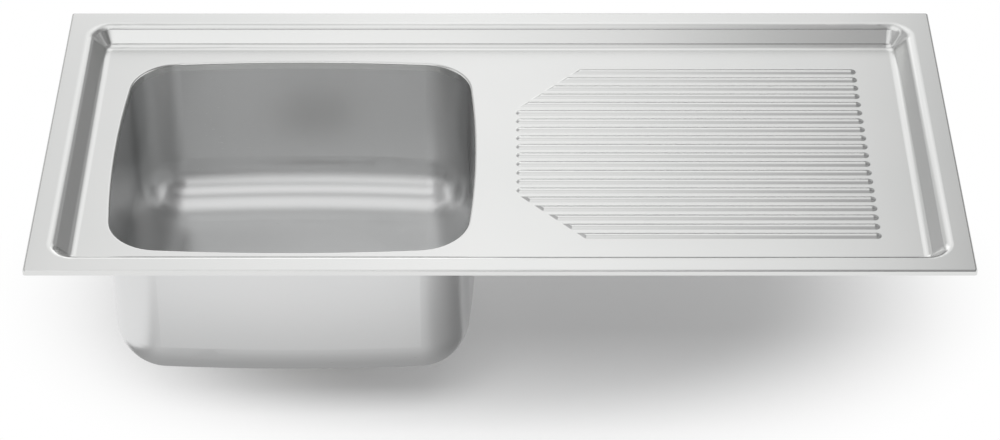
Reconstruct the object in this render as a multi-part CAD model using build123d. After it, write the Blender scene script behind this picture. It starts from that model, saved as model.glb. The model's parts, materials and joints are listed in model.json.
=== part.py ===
from build123d import *
import os
from math import atan, atan2, cos, degrees, hypot, radians, sin, sqrt, tan

# Inset kitchen sink with one bowl and a ribbed drainboard, in millimetres.
# The origin is the middle of the rim on the worktop plane. X runs along the sink, Y to its back, Z up.

# ---- pressed top ----
SINK_LENGTH = 1000.0
SINK_WIDTH = 500.0
SHEET = 1.0                 # stainless sheet of the top and the bowl
RIM_TOP = 6.5               # the rim's upper face above the worktop
RIM_FLAT = 26.0             # from the outer edge to the top of the slope, its bend squared off
RIM_CORNER = 3.0            # plan radius of the rim's corners
RIM_BEND = 2.4              # outer radius of the turned-down lip
RECESS_DEPTH = 20.0         # from the rim down to the deck
RECESS_RUN = 18.5           # how far the recess wall slopes inwards
RECESS_CORNER = 24.0        # plan radius at the top of the slope
RECESS_FOOT_CORNER = 8.0    # plan radius at the foot of the slope
BROW_RADIUS = 14.0          # convex bend between rim and slope
FOOT_RADIUS = 12.0          # concave bend between slope and deck

# ---- bowl ----
BOWL_LENGTH = 398.5         # across the middle of the bowed ends
BOWL_LEFT_LEDGE = 28.85     # deck between the foot of the slope and the bowl, at the left
BOWL_FRONT_LEDGE = 15.0
BOWL_BACK_LEDGE = 28.5
BOWL_END_BOW = 10.8         # how far each end bows out
BOWL_SIDE_BOW = 8.4         # how far each long side bows out
BOWL_CORNER = 56.0
BOWL_DEPTH = 206.5          # from the rim's upper face to the floor
BOWL_DRAFT = 0.3            # degrees
BOWL_FLOOR_RADIUS = 54.0
MOUTH_RADIUS = 3.0          # rolled edge from the deck into the bowl
COLLAR = 10.0               # deck to the weld between top and bowl
FALL_RADIUS = 122.0         # the floor falls to the drain inside this radius
FALL = 2.5
SEAT_RADIUS = 60.0          # dished seat of the drain flange
SEAT_DEPTH = 3.0
SEAT_SLOPE_RUN = 4.0
DRAIN_RADIUS = 45.0         # hole in the bowl's floor

# ---- drainer ribs ----
RIB_PITCH = 16.66
RIB_WIDTH = 12.5
RIB_HEIGHT = 2.0
RIB_FOOT_RADIUS = 3.0       # concave blend along a rib's foot
RIBS_FROM_BOWL = 45.15
RIBS_RIGHT_LEDGE = 46.5     # deck between the ribs and the foot of the slope
RIBS_BACK_LEDGE = 44.5
RIBS_FRONT_LEDGE = 36.25    # at least
RIBS_CUT_X = 74.0           # the two left corners of the ribbed field are cut off
RIBS_CUT_Y = 82.5

# ---- rim seal and pads ----
SEAL_WIDTH = 9.0
SEAL_FROM_LIP = 2.0
PAD_THICKNESS = 2.5
PAD_GLUE = 0.2              # adhesive film
BOWL_PAD_INNER = 72.0
BOWL_PAD_OUTER = 116.0
DRAINER_PAD_END_INSET = 26.0    # pad's end inside the ribbed field
DRAINER_PAD_SIDE_INSET = 19.52
DRAINER_PAD_CORNER = 12.0

# ---- earthing tag ----
TAG_FROM_BOWL = 218.15
TAG_INSET = 66.0            # from the sink's back edge
TAG_WIDTH = 10.0
TAG_FOOT = 12.0
TAG_DROP = 14.0
TAG_HOLE = 2.15             # radius

# ---- fixing clips ----
CLIP_INSET = 68.0           # screw axis from the long edges
CLIP_END_INSET = 66.0       # screw axis from the short edges
CLIP_FROM_BOWL = 88.15      # first clip beside the drainer
CLIP_SPACING = 190.0
CLIPS_BESIDE_DRAINER = 2    # on each long side
CLIP_TRAVEL = 15.0          # how far a claw can be lowered
THREAD_HELD = 3.0           # of the screw in its nut, with the claw lowered
BRACKET_SHEET = 1.5
BRACKET_WIDTH = 16.0
BRACKET_BACK = 13.0         # screw axis to the bracket's web
BRACKET_FRONT = 8.0         # screw axis to the flanges' free edge
SCREW_RADIUS = 3.0
SCREW_FIT = 0.05            # radial, screw in its nut
SCREW_CLEARANCE = 0.3       # radial, screw in plain holes
SCREW_END_GAP = 0.5         # screw end to the bracket's upper flange
SCREW_HEAD_RADIUS = 5.0
SCREW_HEAD = 4.0
SCREW_SLOT = 1.4
NUT_FLATS = 10.0
NUT_HEIGHT = 5.0
WASHER_RADIUS = 6.5
WASHER_THICKNESS = 1.2
REST_GAP = 0.1              # between faces that slide or turn on each other
CLAW_SHEET = 2.0
CLAW_WIDTH = 12.0
CLAW_HUB_RADIUS = 8.0
CLAW_ARM = 62.0             # screw axis to the upturned tongue
CLAW_RISE = 8.0             # how far the tip stands above the arm
CLAW_TIP = 10.0             # level tip that bears on the worktop

# ---- basket strainer waste ----
GASKET = 1.5
GASKET_INNER = 47.5
GASKET_OUTER = 55.0
FLANGE_RADIUS = 56.5
FLANGE_CONE_TOP = 46.0
FLANGE_CONE_FOOT = 41.0
FLANGE_CONE_DEPTH = 4.5
CUP_RADIUS = 40.0           # inside, at the cup's bottom
CUP_DEPTH = 34.0
CUP_PORT_RADIUS = 7.0
CUP_PORT_RING = 26.0
CUP_PORTS = 8
BODY_GASKET = 2.0
BODY_WALL = 3.0
BODY_FLANGE = 3.0
BODY_INNER = 43.0           # radius of the body's bowl
BODY_DEPTH = 40.0
OUTLET_RADIUS = 23.9        # G 1 1/2 thread, outside
OUTLET_BORE = 20.0
OUTLET_LENGTH = 30.0
THREAD_PITCH = 2.309
THREAD_DEPTH = 1.0
HUB_RADIUS = 9.5
HUB_HEIGHT = 17.0
ARM_THICKNESS = 4.0
BUSH_RADIUS = 5.5
BUSH_LENGTH = 15.0
CENTRE_SCREW_RADIUS = 3.0
CENTRE_SCREW_HEAD = 6.0     # radius
CENTRE_SCREW_HEAD_HEIGHT = 3.2
CENTRE_SCREW_LENGTH = 17.0

# ---- strainer basket ----
BASKET_SHEET = 0.8
BASKET_RADIUS = 37.0
BASKET_DROP = 2.4           # basket rim below the flange's upper face
BASKET_DEPTH = 24.0
BASKET_GAP = 0.3            # rubber seal to the flange's cone
SEAL_HEIGHT = 2.0
BASKET_HOLE = 2.0           # radius
BASKET_RING_FIRST = 10.0    # radius of the floor's innermost ring of holes
BASKET_RING_STEP = 8.0
BASKET_RINGS = 3
BASKET_RING_HOLES = 6       # in the innermost ring, twice that in the next
BASKET_WALL_HOLES = 24
BASKET_WALL_HOLE_HEIGHT = 8.0
STEM_RADIUS = 2.5
STEM_HEAD = 1.3
STEM_HEAD_RADIUS = 5.0
STEM_LENGTH = 15.0          # above the basket's floor
KNOB_RADIUS = 11.0
KNOB_NECK = 5.0
KNOB_HEIGHT = 11.0
KNOB_BEVEL = 2.5
KNOB_UNDERCUT = 1.0

# ---- worked out from the sizes above ----
SLOPE_FOOT = RIM_FLAT + RECESS_RUN      # from the sink's edge to the deck
BOWL_WIDTH = SINK_WIDTH - 2 * SLOPE_FOOT - BOWL_FRONT_LEDGE - BOWL_BACK_LEDGE
BOWL_X = SLOPE_FOOT + BOWL_LEFT_LEDGE + BOWL_LENGTH / 2 - SINK_LENGTH / 2
BOWL_Y = SLOPE_FOOT + BOWL_FRONT_LEDGE + BOWL_WIDTH / 2 - SINK_WIDTH / 2
BOWL_RIGHT = BOWL_X + BOWL_LENGTH / 2
DECK_TOP = RIM_TOP - RECESS_DEPTH
DECK_UNDER = DECK_TOP - SHEET
COLLAR_FOOT = DECK_TOP - COLLAR
BOWL_FLOOR = RIM_TOP - BOWL_DEPTH
SEAT_TOP = BOWL_FLOOR - FALL - SEAT_DEPTH
RECESS_SLOPE = atan2(RECESS_DEPTH, RECESS_RUN)
RIB_SLOPE = 2 * atan(2 * RIB_HEIGHT / RIB_WIDTH)
RIB_CREST_RADIUS = RIB_WIDTH / (2 * sin(RIB_SLOPE)) - RIB_FOOT_RADIUS
RIBS_LEFT = BOWL_RIGHT + RIBS_FROM_BOWL
RIBS_RIGHT = SINK_LENGTH / 2 - SLOPE_FOOT - RIBS_RIGHT_LEDGE
RIBS_BACK = SINK_WIDTH / 2 - SLOPE_FOOT - RIBS_BACK_LEDGE
RIBS_ROOM = RIBS_BACK + SINK_WIDTH / 2 - SLOPE_FOOT - RIBS_FRONT_LEDGE
RIB_COUNT = int((RIBS_ROOM - RIB_WIDTH) / RIB_PITCH) + 1
RIBS_MIDDLE = RIBS_BACK - RIB_WIDTH / 2 - RIB_PITCH * (RIB_COUNT - 1) / 2
RIB_BASE = 0.5              # how far a rib's solid reaches into the deck
FLANGE_UNDER = SEAT_TOP + GASKET
FLANGE_TOP = FLANGE_UNDER + SHEET
CUP_FLOOR = FLANGE_TOP - CUP_DEPTH
BODY_TOP = SEAT_TOP - SHEET - BODY_GASKET
BODY_FLOOR = BODY_TOP - BODY_DEPTH
BASKET_RIM = FLANGE_TOP - BASKET_DROP
BASKET_FLOOR = BASKET_RIM - BASKET_DEPTH
DRAINER_PAD_LENGTH = RIBS_RIGHT - RIBS_LEFT - 2 * DRAINER_PAD_END_INSET
DRAINER_PAD_WIDTH = 2 * (RIBS_BACK - RIBS_MIDDLE - DRAINER_PAD_SIDE_INSET)
SCREW_END = DECK_UNDER - BRACKET_SHEET - SCREW_END_GAP
BRACKET_FLOOR = SCREW_END - CLIP_TRAVEL - THREAD_HELD - BRACKET_SHEET   # the lower flange's underside
CLAW_TOP = BRACKET_FLOOR - REST_GAP

PICK = 0.01                 # tolerance when edges are picked by height

MIDDLE_UP = (Align.CENTER, Align.CENTER, Align.MIN)
MIDDLE_DOWN = (Align.CENTER, Align.CENTER, Align.MAX)


def creep(inset, slope):
    """How far a slope's edges move sideways when the face is offset by inset."""
    return inset * tan(slope / 2)


def disc(radius, top, height):
    return Pos(0, 0, top) * Cylinder(radius, height, align=MIDDLE_DOWN)


def ring(outer, inner, top, height):
    return disc(outer, top, height) - disc(inner, top, height)


def turned(*points):
    """A solid of revolution about Z from (radius, height) points."""
    outline = make_face(Polyline(*points, close=True))
    return revolve(Plane.XZ * outline, Axis.Z)


def block(x0, x1, y0, y1, z0, z1):
    size = Box(x1 - x0, y1 - y0, z1 - z0, align=(Align.MIN,) * 3)
    return Pos(x0, y0, z0) * size


# ---------------------------------------------------------------- bowl outline
def bow_radius(half_chord, bow):
    return (half_chord ** 2 + bow ** 2) / (2 * bow)


def bowl_outline(grow=0.0):
    """The bowl's plan grown outwards by grow: bowed ends and sides joined by tangent corner arcs."""
    x = BOWL_LENGTH / 2
    y = BOWL_WIDTH / 2
    end_radius = bow_radius(y - BOWL_SIDE_BOW, BOWL_END_BOW)
    side_radius = bow_radius(x - BOWL_END_BOW, BOWL_SIDE_BOW)
    end_centre = Vector(x - end_radius, 0)
    side_centre = Vector(0, y - side_radius)
    # a corner arc's centre lies BOWL_CORNER inside both the end arc and the side arc
    from_end = end_radius - BOWL_CORNER
    from_side = side_radius - BOWL_CORNER
    apart = (side_centre - end_centre).length
    toward = (side_centre - end_centre).normalized()
    along = (from_end ** 2 - from_side ** 2 + apart ** 2) / (2 * apart)
    across = sqrt(from_end ** 2 - along ** 2)
    centre = end_centre + toward * along + Vector(-toward.Y, toward.X) * across
    end_way = (centre - end_centre).normalized()
    side_way = (centre - side_centre).normalized()
    radius = BOWL_CORNER + grow
    on_end = centre + end_way * radius
    on_side = centre + side_way * radius
    on_corner = centre + (end_way + side_way).normalized() * radius
    arcs = []
    for sx, sy in ((1, 1), (1, -1), (-1, -1), (-1, 1)):
        arcs.append(ThreePointArc((sx * on_end.X, sy * on_end.Y), (sx * on_corner.X, sy * on_corner.Y),
                                  (sx * on_side.X, sy * on_side.Y)))
    for s in (1, -1):
        arcs.append(ThreePointArc((s * on_end.X, -on_end.Y), (s * (x + grow), 0), (s * on_end.X, on_end.Y)))
        arcs.append(ThreePointArc((-on_side.X, s * on_side.Y), (0, s * (y + grow)),
                                  (on_side.X, s * on_side.Y)))
    return Pos(BOWL_X, BOWL_Y) * make_face(arcs)


# ---------------------------------------------------------------- drainer ribs
def rib_section(inset, one_sided=False):
    """A rib's section: crest arc, slopes and foot arcs. One-sided, it runs on level from the crest."""
    foot = RIB_FOOT_RADIUS + inset
    foot_x = foot * sin(RIB_SLOPE) - RIB_WIDTH / 2
    foot_z = RIB_FOOT_RADIUS - foot * cos(RIB_SLOPE)
    half = RIB_SLOPE / 2
    bend_x = foot * sin(half) - RIB_WIDTH / 2
    bend_z = RIB_FOOT_RADIUS - foot * cos(half)
    crest = RIB_HEIGHT - inset
    centre_z = RIB_HEIGHT - RIB_CREST_RADIUS
    crest_r = RIB_CREST_RADIUS - inset
    over = (-crest_r * sin(half), centre_z + crest_r * cos(half))
    base = -inset - RIB_BASE
    rise = [
        ThreePointArc((-RIB_WIDTH / 2, -inset), (bend_x, bend_z), (foot_x, foot_z)),
        ThreePointArc((foot_x, foot_z), over, (0, crest)),
    ]
    if one_sided:
        reach = SINK_LENGTH
        close = Polyline((0, crest), (reach, crest), (reach, base), (-RIB_WIDTH / 2, base),
                         (-RIB_WIDTH / 2, -inset))
        return make_face(rise + [close])
    close = Polyline((0, crest), (0, base), (-RIB_WIDTH / 2, base), (-RIB_WIDTH / 2, -inset))
    return make_face(rise + [close])


def rib_bar(start, end, inset):
    half = extrude(Plane.YZ * rib_section(inset), end - start)
    return Pos(start, 0, 0) * (half + mirror(half, Plane.XZ))


def rib_end(x, inset):
    """The domed end of a rib: its half section turned about an upright axis."""
    half = Plane.XZ * rib_section(inset)
    return Pos(x, 0, 0) * revolve(half, Axis.Z)


def corner_ramp(upper, inset):
    """The slope along one cut corner of the ribbed field, shaped like a rib's side."""
    heading = degrees(atan2(RIBS_CUT_Y, RIBS_CUT_X))
    section = Plane.XZ * rib_section(inset, one_sided=True)
    ramp = extrude(section, SINK_LENGTH, both=True)
    mid_x = RIBS_LEFT + RIBS_CUT_X / 2
    half_field = RIBS_BACK - RIBS_MIDDLE
    mid_y = half_field - RIBS_CUT_Y / 2
    ramp = Pos(RIB_WIDTH / 2, 0, 0) * ramp
    ramp = Pos(mid_x, mid_y, 0) * Rot(0, 0, heading - 90) * ramp
    if not upper:
        ramp = mirror(ramp, Plane.XZ)
    return Pos(0, RIBS_MIDDLE, 0) * ramp


def ribs(inset):
    """All the drainer ribs, on a deck at height 0."""
    straight_half = RIBS_BACK - RIBS_CUT_Y - RIBS_MIDDLE
    end = RIBS_RIGHT - RIB_WIDTH / 2
    made = []
    for number in range(RIB_COUNT):
        y = RIBS_BACK - RIB_WIDTH / 2 - number * RIB_PITCH
        off_middle = y - RIBS_MIDDLE
        plain = abs(off_middle) + RIB_WIDTH / 2 <= straight_half
        start = RIBS_LEFT + RIB_WIDTH / 2 if plain else RIBS_LEFT
        rib = rib_bar(start, end, inset) + rib_end(end, inset)
        if plain:
            rib = rib + rib_end(start, inset)
        rib = Pos(0, y, 0) * rib
        if not plain:
            rib = rib & corner_ramp(off_middle > 0, inset)
        made.append(rib)
    return made


# ---------------------------------------------------------------- pressed top
def level_edges(solid, z, inner):
    """The edges at height z that lie inside (or outside) the recess's outline."""
    margin = RIM_FLAT / 2
    picked = []
    for edge in solid.edges().filter_by_position(Axis.Z, z - PICK, z + PICK):
        middle = edge.position_at(0.5)
        inside = abs(middle.X) < SINK_LENGTH / 2 - margin and abs(middle.Y) < SINK_WIDTH / 2 - margin
        if inside == inner:
            picked.append(edge)
    return picked


def pressing(inset):
    """The solid below the top's surface. Inset 0 is the upper face, inset SHEET the lower one."""
    rim = RIM_TOP - inset
    deck = DECK_TOP - inset
    side = creep(inset, RECESS_SLOPE)
    outline = RectangleRounded(SINK_LENGTH - 2 * inset, SINK_WIDTH - 2 * inset, RIM_CORNER - inset)
    body = extrude(Pos(0, 0, COLLAR_FOOT) * outline, rim - COLLAR_FOOT)
    body = fillet(level_edges(body, rim, inner=False), RIM_BEND - inset)
    brow_inset = 2 * (RIM_FLAT - side)
    foot_inset = 2 * (RIM_FLAT + RECESS_RUN - side)
    brow = RectangleRounded(SINK_LENGTH - brow_inset, SINK_WIDTH - brow_inset, RECESS_CORNER + side)
    foot = RectangleRounded(SINK_LENGTH - foot_inset, SINK_WIDTH - foot_inset, RECESS_FOOT_CORNER + side)
    body = body - loft([Pos(0, 0, deck) * foot, Pos(0, 0, rim) * brow], ruled=True)
    body = fillet(level_edges(body, deck, inner=True), FOOT_RADIUS + inset)
    body = fillet(level_edges(body, rim, inner=True), BROW_RADIUS - inset)
    mouth = extrude(Pos(0, 0, COLLAR_FOOT) * bowl_outline(inset), deck - COLLAR_FOOT + SHEET)
    body = body - mouth
    lip = [edge for edge in level_edges(body, deck, inner=True)
           if abs(edge.position_at(0.5).X - BOWL_X) < BOWL_LENGTH / 2 + MOUTH_RADIUS / 2
           and abs(edge.position_at(0.5).Y - BOWL_Y) < BOWL_WIDTH / 2 + MOUTH_RADIUS / 2]
    body = fillet(lip, MOUTH_RADIUS - inset)
    for rib in ribs(inset):
        body = body + Pos(0, 0, DECK_TOP) * rib
    return body


def sink_top():
    sheet = pressing(0) - pressing(SHEET)
    lip_inset = 2 * (SHEET + SEAL_FROM_LIP / 2)
    below = Pos(0, 0, COLLAR_FOOT - SHEET) * Box(2 * SINK_LENGTH, 2 * SINK_WIDTH, SHEET - COLLAR_FOOT,
                                                align=MIDDLE_UP)
    keep = Pos(0, 0, COLLAR_FOOT - SHEET) * Box(SINK_LENGTH - lip_inset, SINK_WIDTH - lip_inset,
                                               SHEET - COLLAR_FOOT, align=MIDDLE_UP)
    return sheet - (below - keep)


# ---------------------------------------------------------------- bowl
def bowl_form(inset):
    """The bowl's inside grown by inset: 0 is the inner face, SHEET the outer one."""
    floor = BOWL_FLOOR - inset
    narrowing = (COLLAR_FOOT - floor) * tan(radians(BOWL_DRAFT))
    foot = Pos(0, 0, floor) * bowl_outline(inset - narrowing)
    form = loft([foot, Pos(0, 0, COLLAR_FOOT) * bowl_outline(inset)], ruled=True)
    bottom = form.edges().filter_by_position(Axis.Z, floor - PICK, floor + PICK)
    form = fillet(bottom, BOWL_FLOOR_RADIUS + inset)
    fall = creep(inset, atan2(FALL, FALL_RADIUS - SEAT_RADIUS))
    step = creep(inset, atan2(SEAT_DEPTH, SEAT_SLOPE_RUN))
    dish = turned((0, floor + SHEET), (FALL_RADIUS + fall, floor + SHEET), (FALL_RADIUS + fall, floor),
                  (SEAT_RADIUS + step, floor - FALL), (SEAT_RADIUS - SEAT_SLOPE_RUN + step,
                                                       floor - FALL - SEAT_DEPTH),
                  (0, floor - FALL - SEAT_DEPTH))
    return form + Pos(BOWL_X, BOWL_Y, 0) * dish


def bowl():
    hole = Pos(BOWL_X, BOWL_Y, 0) * disc(DRAIN_RADIUS, BOWL_FLOOR, FALL + SEAT_DEPTH + 2 * SHEET)
    return bowl_form(SHEET) - bowl_form(0) - hole


# ---------------------------------------------------------------- seal, pads and tag
def rim_seal():
    outer = SHEET + SEAL_FROM_LIP
    inner = outer + SEAL_WIDTH
    height = RIM_TOP - SHEET
    frame = Box(SINK_LENGTH - 2 * outer, SINK_WIDTH - 2 * outer, height, align=MIDDLE_UP)
    return frame - Box(SINK_LENGTH - 2 * inner, SINK_WIDTH - 2 * inner, height, align=MIDDLE_UP)


def bowl_pad():
    """A pad bonded under the floor; it follows the floor's fall to the drain."""
    under = BOWL_FLOOR - SHEET - PAD_GLUE
    gradient = FALL / (FALL_RADIUS - SEAT_RADIUS)
    inner = under - gradient * (FALL_RADIUS - BOWL_PAD_INNER)
    outer = under - gradient * (FALL_RADIUS - BOWL_PAD_OUTER)
    pad = turned((BOWL_PAD_INNER, inner), (BOWL_PAD_OUTER, outer), (BOWL_PAD_OUTER, outer - PAD_THICKNESS),
                 (BOWL_PAD_INNER, inner - PAD_THICKNESS))
    return Pos(BOWL_X, BOWL_Y, 0) * pad


def drainer_pad():
    middle = (RIBS_LEFT + RIBS_RIGHT) / 2
    plan = RectangleRounded(DRAINER_PAD_LENGTH, DRAINER_PAD_WIDTH, DRAINER_PAD_CORNER)
    return Pos(middle, RIBS_MIDDLE, DECK_UNDER) * extrude(plan, -PAD_THICKNESS)


def earthing_tag():
    y = SINK_WIDTH / 2 - TAG_INSET
    foot = block(-TAG_WIDTH / 2, TAG_WIDTH / 2, 0, TAG_FOOT, -SHEET, 0)
    leaf = block(-TAG_WIDTH / 2, TAG_WIDTH / 2, 0, SHEET, -TAG_DROP, 0)
    hole = Pos(0, 0, TAG_HOLE * 2 - TAG_DROP) * Rot(90, 0, 0) * Cylinder(TAG_HOLE, 4 * SHEET)
    return Pos(BOWL_RIGHT + TAG_FROM_BOWL, y, DECK_UNDER) * (foot + leaf - hole)


# ---------------------------------------------------------------- fixing clips
def clip_places():
    """Each clip's screw axis and the heading of its stowed claw."""
    places = []
    end_x = SINK_LENGTH / 2 - CLIP_END_INSET
    for side in (-1, 1):
        y = side * (SINK_WIDTH / 2 - CLIP_INSET)
        places.append(Pos(-end_x, y, 0) * Rot(0, 0, -90 * side))
        for number in range(CLIPS_BESIDE_DRAINER):
            places.append(Pos(BOWL_RIGHT + CLIP_FROM_BOWL + number * CLIP_SPACING, y, 0))
        places.append(Pos(end_x, y, 0) * Rot(0, 0, -90 * side))
    return places


def clip_bracket():
    """A C of strip steel, welded under the deck; the screw comes up through its lower flange."""
    half = BRACKET_WIDTH / 2
    top = block(-BRACKET_BACK, BRACKET_FRONT, -half, half, DECK_UNDER - BRACKET_SHEET, DECK_UNDER)
    web = block(-BRACKET_BACK, BRACKET_SHEET - BRACKET_BACK, -half, half, BRACKET_FLOOR, DECK_UNDER)
    low = block(-BRACKET_BACK, BRACKET_FRONT, -half, half, BRACKET_FLOOR, BRACKET_FLOOR + BRACKET_SHEET)
    hole = disc(SCREW_RADIUS + SCREW_CLEARANCE, BRACKET_FLOOR + BRACKET_SHEET, BRACKET_SHEET)
    return top + web + low - hole


def clip_nut():
    hexagon = extrude(RegularPolygon(NUT_FLATS / 2, 6, major_radius=False), NUT_HEIGHT)
    nut = Pos(0, 0, BRACKET_FLOOR + BRACKET_SHEET) * hexagon
    return nut - disc(SCREW_RADIUS + SCREW_FIT, BRACKET_FLOOR + BRACKET_SHEET + NUT_HEIGHT, NUT_HEIGHT)


def clip_claw():
    """Swings on the screw: hub, flat arm, upturned tongue and level tip."""
    half = CLAW_WIDTH / 2
    hub = disc(CLAW_HUB_RADIUS, CLAW_TOP, CLAW_SHEET)
    arm = block(0, CLAW_ARM, -half, half, CLAW_TOP - CLAW_SHEET, CLAW_TOP)
    tip_top = CLAW_TOP + CLAW_RISE
    tongue = block(CLAW_ARM - CLAW_SHEET, CLAW_ARM, -half, half, CLAW_TOP - CLAW_SHEET, tip_top)
    tip = block(CLAW_ARM - CLAW_SHEET, CLAW_ARM + CLAW_TIP, -half, half, tip_top - CLAW_SHEET, tip_top)
    return hub + arm + tongue + tip - disc(SCREW_RADIUS + SCREW_CLEARANCE, CLAW_TOP, CLAW_SHEET)


def clip_washer():
    top = CLAW_TOP - CLAW_SHEET - REST_GAP
    return ring(WASHER_RADIUS, SCREW_RADIUS + SCREW_CLEARANCE, top, WASHER_THICKNESS)


def clip_screw():
    head_top = CLAW_TOP - CLAW_SHEET - WASHER_THICKNESS - 2 * REST_GAP
    screw = disc(SCREW_RADIUS, SCREW_END, SCREW_END - head_top)
    screw = screw + disc(SCREW_HEAD_RADIUS, head_top, SCREW_HEAD)
    slot = Box(2 * SCREW_HEAD_RADIUS, SCREW_SLOT, SCREW_HEAD / 2, align=MIDDLE_UP)
    return screw - Pos(0, 0, head_top - SCREW_HEAD) * slot


# ---------------------------------------------------------------- basket strainer waste
def around(count, radius, piece):
    """Copies of a piece, evenly spaced on a circle about Z."""
    return [Rot(0, 0, 360 * turn / count) * Pos(radius, 0, 0) * piece for turn in range(count)]


def strainer_flange():
    """The drain's stainless flange, drawn down into a cup with outlet ports in its floor."""
    cone_foot = FLANGE_TOP - FLANGE_CONE_DEPTH
    flange = turned((FLANGE_CONE_TOP, FLANGE_TOP), (FLANGE_RADIUS, FLANGE_TOP), (FLANGE_RADIUS, FLANGE_UNDER),
                    (FLANGE_CONE_TOP + SHEET / 2, FLANGE_UNDER),
                    (FLANGE_CONE_FOOT + SHEET, cone_foot - SHEET / 2),
                    (CUP_RADIUS + SHEET, CUP_FLOOR - SHEET), (0, CUP_FLOOR - SHEET), (0, CUP_FLOOR),
                    (CUP_RADIUS, CUP_FLOOR), (FLANGE_CONE_FOOT, cone_foot))
    flange = flange - disc(CENTRE_SCREW_RADIUS + SCREW_CLEARANCE, CUP_FLOOR, SHEET)
    for port in around(CUP_PORTS, CUP_PORT_RING, disc(CUP_PORT_RADIUS, CUP_FLOOR, SHEET)):
        flange = flange - port
    return flange


def strainer_body():
    """The moulded outlet body: sealing flange, bowl, four-armed hub and threaded tail."""
    outer = BODY_INNER + BODY_WALL
    tail_foot = BODY_FLOOR - OUTLET_LENGTH
    shell = turned((BODY_INNER, BODY_TOP), (FLANGE_RADIUS, BODY_TOP), (FLANGE_RADIUS, BODY_TOP - BODY_FLANGE),
                   (outer, BODY_TOP - BODY_FLANGE), (outer, BODY_FLOOR - BODY_WALL),
                   (OUTLET_RADIUS, BODY_FLOOR - BODY_WALL), (OUTLET_RADIUS, tail_foot),
                   (OUTLET_BORE, tail_foot), (OUTLET_BORE, BODY_FLOOR), (BODY_INNER, BODY_FLOOR))
    hub_top = CUP_FLOOR - SHEET
    arm_height = BODY_FLOOR - (hub_top - HUB_HEIGHT)
    for arm in around(4, 0, block(0, BODY_INNER, -ARM_THICKNESS / 2, ARM_THICKNESS / 2,
                                  BODY_FLOOR - arm_height, BODY_FLOOR)):
        shell = shell + (arm & disc(OUTLET_BORE + BODY_WALL / 2, BODY_FLOOR, arm_height))
    shell = shell + disc(HUB_RADIUS, hub_top, HUB_HEIGHT)
    shell = shell - disc(BUSH_RADIUS, hub_top, HUB_HEIGHT)
    thread_length = OUTLET_LENGTH - BODY_WALL - THREAD_PITCH
    for turn in range(int(thread_length / THREAD_PITCH)):
        groove_top = tail_foot + (turn + 1) * THREAD_PITCH
        shell = shell - ring(OUTLET_RADIUS + THREAD_DEPTH, OUTLET_RADIUS - THREAD_DEPTH, groove_top,
                             THREAD_PITCH / 2)
    return shell


def insert_bush():
    top = CUP_FLOOR - SHEET
    return ring(BUSH_RADIUS, CENTRE_SCREW_RADIUS + SCREW_FIT, top, BUSH_LENGTH)


def centre_screw():
    head_top = CUP_FLOOR + CENTRE_SCREW_HEAD_HEIGHT
    screw = disc(CENTRE_SCREW_HEAD, head_top, CENTRE_SCREW_HEAD_HEIGHT)
    screw = screw + disc(CENTRE_SCREW_RADIUS, CUP_FLOOR, CENTRE_SCREW_LENGTH)
    slot = Box(2 * CENTRE_SCREW_HEAD, SCREW_SLOT, CENTRE_SCREW_HEAD_HEIGHT / 2, align=MIDDLE_DOWN)
    return screw - Pos(0, 0, head_top) * slot


def cone_radius(z):
    """The flange's inner radius at height z of its cone."""
    return FLANGE_CONE_TOP - (FLANGE_TOP - z) * (FLANGE_CONE_TOP - FLANGE_CONE_FOOT) / FLANGE_CONE_DEPTH


def basket():
    wall = BASKET_RADIUS + BASKET_SHEET
    rim = cone_radius(BASKET_RIM - BASKET_SHEET) - 2 * BASKET_GAP
    cup = turned((rim, BASKET_RIM), (rim, BASKET_RIM - BASKET_SHEET), (wall, BASKET_RIM - BASKET_SHEET),
                 (wall, BASKET_FLOOR - BASKET_SHEET), (0, BASKET_FLOOR - BASKET_SHEET), (0, BASKET_FLOOR),
                 (BASKET_RADIUS, BASKET_FLOOR), (BASKET_RADIUS, BASKET_RIM))
    cup = cup - disc(STEM_RADIUS, BASKET_FLOOR, BASKET_SHEET)
    for number in range(BASKET_RINGS):
        ring_radius = BASKET_RING_FIRST + number * BASKET_RING_STEP
        floor_hole = disc(BASKET_HOLE, BASKET_FLOOR, BASKET_SHEET)
        for hole in around(BASKET_RING_HOLES * (number + 1), ring_radius, floor_hole):
            cup = cup - hole
    drill = Cylinder(BASKET_HOLE, 4 * BASKET_SHEET)
    wall_hole = Pos(0, 0, BASKET_FLOOR + BASKET_WALL_HOLE_HEIGHT) * Rot(0, 90, 0) * drill
    for hole in around(BASKET_WALL_HOLES, BASKET_RADIUS + BASKET_SHEET / 2, wall_hole):
        cup = cup - hole
    return cup


def basket_seal():
    """A rubber ring under the basket's rim, with the flange's taper."""
    top = BASKET_RIM - BASKET_SHEET
    foot = top - SEAL_HEIGHT
    slack = BASKET_GAP * hypot(FLANGE_CONE_TOP - FLANGE_CONE_FOOT, FLANGE_CONE_DEPTH) / FLANGE_CONE_DEPTH
    wall = BASKET_RADIUS + BASKET_SHEET
    return turned((wall, top), (cone_radius(top) - slack, top), (cone_radius(foot) - slack, foot),
                  (wall, foot))


def basket_stem():
    rivet = disc(STEM_HEAD_RADIUS, BASKET_FLOOR - BASKET_SHEET, STEM_HEAD)
    return rivet + disc(STEM_RADIUS, BASKET_FLOOR + STEM_LENGTH, STEM_LENGTH + BASKET_SHEET)


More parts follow.
